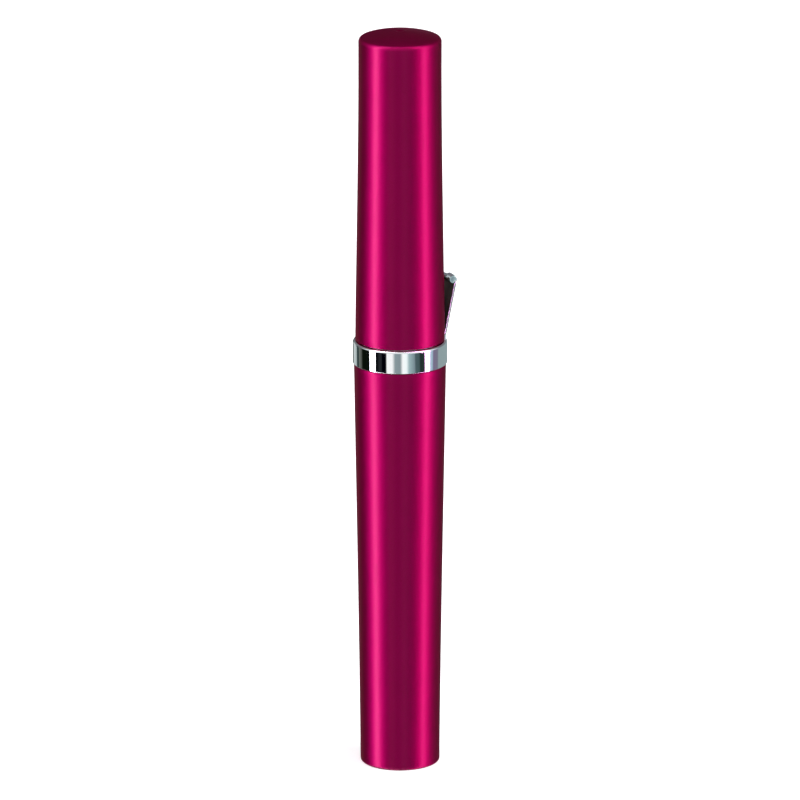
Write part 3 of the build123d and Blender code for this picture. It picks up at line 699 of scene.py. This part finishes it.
# ---- comb head -----------------------------------------------------------------------------------
def ogive(t, power, root):
    """Share of the full radius at a share t of the nose's height."""
    return (1 - t**power) ** (1 / root)


def nose_section(t):
    """Centre and radii of the nose's oval section at a share t of its height."""
    right = apex_x + (head_r - apex_x) * ogive(t, 3.8, 1.7)
    left = apex_x - (head_r + apex_x - side_taper * t) * ogive(t, 7, 2)
    back = apex_y + (head_r - apex_y) * ogive(t, 3.0, 1.7)
    front = apex_y - (head_r + apex_y - front_taper * t) * ogive(t, 10, 2)
    return (left + right) / 2, (front + back) / 2, (right - left) / 2, (back - front) / 2


def closed_tip(point):
    """Raises the cut end of the nose to the rounded tip that its sections run out to."""
    nose_z = head_z + nose_start
    span = head_height - nose_start
    flat_z = nose_z + nose_cut_share * span
    if abs(point.z - flat_z) > 0.05:
        return point
    under = nose_cut_share
    over = 0.99999
    for _ in range(24):
        t = (under + over) / 2
        middle_x, middle_y, radius_x, radius_y = nose_section(t)
        reach = hypot((point.x - middle_x) / radius_x, (point.y - middle_y) / radius_y)
        if reach < 1:
            under = t
        else:
            over = t
    return Vector((point.x, point.y, point.z + (under - nose_cut_share) * span))


# ---- repeated and wound pieces -------------------------------------------------------------------
class Tree:
    """A geometry node tree in the making, with named inputs."""

    def __init__(self, name):
        self.tree = bpy.data.node_groups.new(name, "GeometryNodeTree")
        self.tree.interface.new_socket("Geometry", in_out="OUTPUT", socket_type="NodeSocketGeometry")
        self.values = {}
        self.start = self.tree.nodes.new("NodeGroupInput")
        self.end = self.tree.nodes.new("NodeGroupOutput")

    def entry(self, name, value, kind="NodeSocketFloat"):
        """Adds a named input and returns its output socket inside the tree."""
        made = self.tree.interface.new_socket(name, in_out="INPUT", socket_type=kind)
        self.values[made.identifier] = value
        return self.start.outputs[name]

    def node(self, kind, sockets, settings=None, out=0):
        made = self.tree.nodes.new(kind)
        for name, value in (settings or {}).items():
            setattr(made, name, value)
        for name, value in sockets.items():
            if isinstance(value, bpy.types.NodeSocket):
                self.tree.links.new(value, made.inputs[name])
            else:
                made.inputs[name].default_value = value
        return made.outputs[out]

    def finish(self, name, geometry, finish):
        """Ends the tree and returns the plain mesh object that it makes."""
        real = self.node("GeometryNodeRealizeInstances", {"Geometry": geometry})
        coated = self.node("GeometryNodeSetMaterial", {"Geometry": real, "Material": materials[finish]})
        self.tree.links.new(coated, self.end.inputs[0])
        holder = bpy.data.objects.new(name, bpy.data.meshes.new(name))
        scene.collection.objects.link(holder)
        modifier = holder.modifiers.new("made", "NODES")
        modifier.node_group = self.tree
        for identifier, value in self.values.items():
            modifier[identifier] = value
        settled(holder)
        mesh = holder.data
        bpy.data.objects.remove(holder)
        return dressed(name, mesh, finish)


def wound_spring():
    """The cell's spring: wire wound as an open coil that stands on the strip."""
    wire_d = 0.5
    coil_d = 6.0
    foot = low("negative_spring")
    tree = Tree("wound wire")
    turns = tree.entry("Turns", 4.0)
    radius = tree.entry("Coil Radius", coil_d / 2 * MM)
    rise = tree.entry("Rise", (high("negative_spring") - foot - wire_d) * MM)
    wire = tree.entry("Wire Radius", wire_d / 2 * MM)
    coil = tree.node(
        "GeometryNodeCurveSpiral",
        {"Resolution": 48, "Rotations": turns, "Start Radius": radius, "End Radius": radius, "Height": rise},
    )
    section = tree.node("GeometryNodeCurvePrimitiveCircle", {"Resolution": 16, "Radius": wire})
    tube = tree.node("GeometryNodeCurveToMesh", {"Curve": coil, "Profile Curve": section, "Fill Caps": True})
    lift = (0, 0, (foot + wire_d / 2) * MM)
    raised = tree.node("GeometryNodeTransform", {"Geometry": tube, "Translation": lift})
    return tree.finish("wound_spring", raised, "spring_steel")


def screw_shape():
    """One carrier screw along +X from its tip, with a pan head and a cross recess."""
    tip = 3.4
    neck = high("carrier_screws", 0) - 0.5
    outline = [(0, tip)]
    pitch = 0.35
    crest = 0.74
    root = 0.58
    for step in range(int((neck - tip) / pitch)):
        outline += [(root, tip + step * pitch + 0.05), (crest, tip + (step + 0.5) * pitch)]
    outline += [(root, neck - 0.02), (1.22, neck), (1.24, neck + 0.12)]
    outline += [(1.1, neck + 0.36), (0.75, neck + 0.48), (0, neck + 0.5)]
    blank = turned_shell("screw_blank", outline, "screw_steel", 48)
    for turn in (0, 90):
        bpy.ops.mesh.primitive_cube_add(size=1)
        cutter = bpy.context.object
        cutter.scale = (0.22 * MM, 1.3 * MM, 0.7 * MM)
        cutter.rotation_euler = (0, 0, radians(turn))
        cutter.location = (0, 0, (neck + 0.55) * MM)
        bpy.context.view_layer.update()
        cut = blank.modifiers.new("recess", "BOOLEAN")
        cut.object = cutter
        cut.solver = "EXACT"
        settled(blank)
        bpy.data.objects.remove(cutter)
    blank.data.transform(Matrix.Rotation(radians(90), 4, "Y"))
    middle_z = (low("carrier_screws") + high("carrier_screws")) / 2
    blank.data.transform(Matrix.Translation((0, 0, middle_z * MM)))
    return blank


def carrier_screws():
    """The screws that hold the trough to the neck, set evenly round the axis."""
    blank = screw_shape()
    tree = Tree("screws round an axis")
    count = tree.entry("Count", 2, "NodeSocketInt")
    seat = tree.node("GeometryNodeMeshLine", {"Count": count, "Offset": (0, 0, 0)})
    index = tree.node("GeometryNodeInputIndex", {})
    share = tree.node("ShaderNodeMath", {0: index, 1: count}, {"operation": "DIVIDE"})
    angle = tree.node("ShaderNodeMath", {0: share, 1: 2 * pi}, {"operation": "MULTIPLY"})
    turn = tree.node("ShaderNodeCombineXYZ", {"Z": angle})
    model = tree.node("GeometryNodeObjectInfo", {"Object": blank}, out="Geometry")
    set_in = tree.node("GeometryNodeInstanceOnPoints", {"Points": seat, "Instance": model, "Rotation": turn})
    made = tree.finish("pan_head_screws", set_in, "screw_steel")
    bpy.data.objects.remove(blank)
    return made


# ---- camera, light and floor ---------------------------------------------------------------------
def studio_camera():
    """A long lens a good way off, a little above the object, square to its front."""
    distance = 2.10
    lift = radians(16.0)
    view_height = 0.1480
    sensor = 36.0
    target = Vector((0, 0, (cap_top_z / 2 - 0.3) * MM))
    back = Vector((0, -cos(lift), sin(lift)))
    camera = bpy.data.cameras.new("studio_camera")
    camera.sensor_width = sensor
    camera.lens = sensor * distance / view_height
    camera.clip_end = 200.0
    holder = bpy.data.objects.new("studio_camera", camera)
    holder.location = target + back * distance
    holder.rotation_mode = "QUATERNION"
    holder.rotation_quaternion = (-back).to_track_quat("-Z", "Y")
    scene.collection.objects.link(holder)
    scene.camera = holder


def soft_sun(name, azimuth, elevation, strength, spread, colour=(1.0, 1.0, 1.0)):
    """An even, soft light from one side. Azimuth 0 is the camera's side and 90 is the right."""
    light = bpy.data.lights.new(name, "SUN")
    light.energy = strength
    light.angle = radians(spread)
    light.color = colour
    holder = bpy.data.objects.new(name, light)
    a = radians(azimuth)
    e = radians(elevation)
    holder.rotation_mode = "QUATERNION"
    away = Vector((sin(a) * cos(e), -cos(a) * cos(e), sin(e)))
    holder.rotation_quaternion = away.to_track_quat("Z", "Y")
    holder.visible_glossy = False
    scene.collection.objects.link(holder)


# The reflector cards round the set: how far round, in degrees from the camera's side, and how light.
CARDS = [
    (-180, (0.05, 0.05, 0.06)),
    (-160, (0.10, 0.11, 0.11)),
    (-148, (0.62, 0.68, 0.68)),
    (-133, (0.40, 0.47, 0.47)),
    (-128, (0.02, 0.04, 0.04)),
    (-121, (0.03, 0.05, 0.05)),
    (-118, (0.16, 0.18, 0.16)),
    (-108, (0.08, 0.09, 0.08)),
    (-104, (0.003, 0.006, 0.003)),
    (-55, (0.004, 0.005, 0.006)),
    (-53, (0.020, 0.022, 0.026)),
    (-46, (0.018, 0.020, 0.024)),
    (-44, (0.0, 0.0, 0.002)),
    (-34, (0.0, 0.0, 0.002)),
    (-32, (1.00, 1.00, 1.00)),
    (-19, (1.00, 1.00, 1.00)),
    (-12, (0.26, 0.33, 0.35)),
    (1, (0.24, 0.30, 0.32)),
    (7, (0.98, 1.00, 1.00)),
    (16, (0.92, 1.00, 1.00)),
    (22, (0.36, 0.50, 0.52)),
    (37, (0.20, 0.27, 0.30)),
    (39, (0.075, 0.12, 0.13)),
    (49, (0.06, 0.10, 0.105)),
    (51, (0.018, 0.03, 0.03)),
    (63, (0.02, 0.032, 0.032)),
    (65, (0.90, 0.95, 1.00)),
    (72, (0.62, 0.76, 0.84)),
    (86, (0.34, 0.48, 0.60)),
    (89, (0.20, 0.16, 0.26)),
    (105, (0.19, 0.19, 0.25)),
    (108, (0.28, 0.36, 0.37)),
]


def reflector_room():
    """The room that the gloss reflects: strips of light and dark cards round the set."""
    world = bpy.data.worlds.new("reflector_room")
    world.use_nodes = True
    scene.world = world
    shader = Shader(world.node_tree)
    x, y, z = shader.split(shader.node("TexCoord", {}, {}, "Generated"))
    azimuth = x.maths("ARCTAN2", x, y * -1.0)
    degree = azimuth * (180 / pi)
    stops = [((place + 180) / 360, colour) for place, colour in CARDS]
    cards = shader.node("ValToRGB", {"stops": stops}, {0: degree * (1 / 360) + 0.5})

    def strip(centre, half_width, softness):
        return shader.fade(abs(degree - centre), half_width, half_width + softness, 1.0, 0.0)

    front = shader.fade(abs(degree), 92.0, 118.0, 1.0, 0.0)
    ceiling = shader.mix(front, rgb(0.17, 0.17, 0.19), rgb(0.80, 0.82, 0.84))
    upward = shader.fade(z, 0.04, 0.34)
    room = shader.mix(upward, cards, ceiling)
    left = strip(-70.5, 5.5, 3.5)
    right = strip(71.0, 4.5, 3.0)
    lit = shader.mix(left, room, rgb(10.0, 10.0, 11.0))
    lit = shader.mix(right, lit, rgb(9.5, 3.6, 8.6))
    background = shader.node("Background", {}, {"Color": lit, "Strength": 1.0})
    shader.node("OutputWorld", {}, {"Surface": background})
    world.cycles_visibility.diffuse = False


def pale_floor():
    """A wide pale floor that the gloss doesn't mirror."""
    half = 40.0
    mesh = bpy.data.meshes.new("pale_floor")
    corners = [(-half, -half, 0), (half, -half, 0), (half, half, 0), (-half, half, 0)]
    mesh.from_pydata(corners, [], [(0, 1, 2, 3)])
    floor = bpy.data.objects.new("pale_floor", mesh)
    scene.collection.objects.link(floor)

    def sockets(shader):
        paper = shader.noise(60.0, 3.0)
        return {
            "Base Color": shader.mix(paper, rgb(0.90, 0.90, 0.90), rgb(0.915, 0.915, 0.915)),
            "Roughness": 0.9,
            "Specular IOR Level": 0.0,
            "Emission Color": rgb(1.0, 1.0, 1.0),
            "Emission Strength": 0.32,
        }

    mesh.materials.append(material("pale_paper", sockets))
    floor.visible_glossy = False
    floor.visible_diffuse = False


# ---- putting it together -------------------------------------------------------------------------
def stands_for(made, node, body):
    """The piece rides on a body and stands for a node, which is hidden."""
    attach(made, body)
    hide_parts(node)


scene.view_settings.view_transform = "Standard"
studio_camera()
reflector_room()
soft_sun("left_light", -106, 30, 2.4, 30, (0.97, 0.985, 1.0))
soft_sun("right_light", 70, 34, 3.0, 32, (1.0, 0.985, 1.0))
soft_sun("front_light", 8, 14, 1.3, 60, (0.90, 0.96, 1.0))
soft_sun("top_light", 20, 78, 1.3, 90)
pale_floor()

stands_for(lower_tube(), "body_tube", "lower_tube")
stands_for(pull_off_cap(), "cap", "cap")
stands_for(pocket_clip(), "pocket_clip", "clip")
stands_for(wound_spring(), "negative_spring", "chassis")
stands_for(carrier_screws(), "carrier_screws", "chassis")
stands_for(
    moulded("comb_head", "comb_head_shell", "white_gloss", 0.11, 3, 180000, closed_tip),
    "comb_head",
    "chassis",
)
stands_for(
    moulded("switch_knob", "thumb_knob", "white_gloss", 0.06, 3, 60000), "switch_knob", "switch"
)
stands_for(moulded("heater_pad", "warm_pad", "silicone", 0.07, 2, 60000), "heater_pad", "chassis")

EASED = [
    ("chrome_ring", "ring_band", "chassis", "bright_chrome", 0.04),
    ("clip_foot", "clip_root", "chassis", "bright_chrome", 0.04),
    ("collar", "snap_collar", "chassis", "white_gloss", 0.05),
    ("neck_housing", "neck_shell", "chassis", "white_satin", 0.07),
    ("heater_carrier", "heater_arm", "chassis", "heat_resin", 0.05),
    ("heater_plate", "warm_plate", "chassis", "heater_metal", 0.03),
    ("heater_film", "warm_film", "chassis", "heater_film", 0.02),
    ("heater_lead_positive", "red_lead", "chassis", "red_insulation", 0.03),
    ("heater_lead_negative", "black_lead", "chassis", "black_insulation", 0.03),
    ("circuit_board", "control_board", "chassis", "board_green", 0.03),
    ("thermal_fuse", "fuse_body", "chassis", "black_resin", 0.0),
    ("slide_switch", "switch_body", "chassis", "switch_steel", 0.05),
    ("switch_actuator", "switch_stem", "switch", "black_resin", 0.05),
    ("battery", "cell", "chassis", "cell_jacket", 0.0),
    ("battery_carrier", "cell_trough", "chassis", "white_satin", 0.06),
    ("positive_contact", "upper_contact", "chassis", "spring_steel", 0.03),
    ("return_strip", "return_contact", "chassis", "spring_steel", 0.03),
]
for node, name, body, slot, edge in EASED:
    stands_for(eased(node, name, slot, edge), node, body)
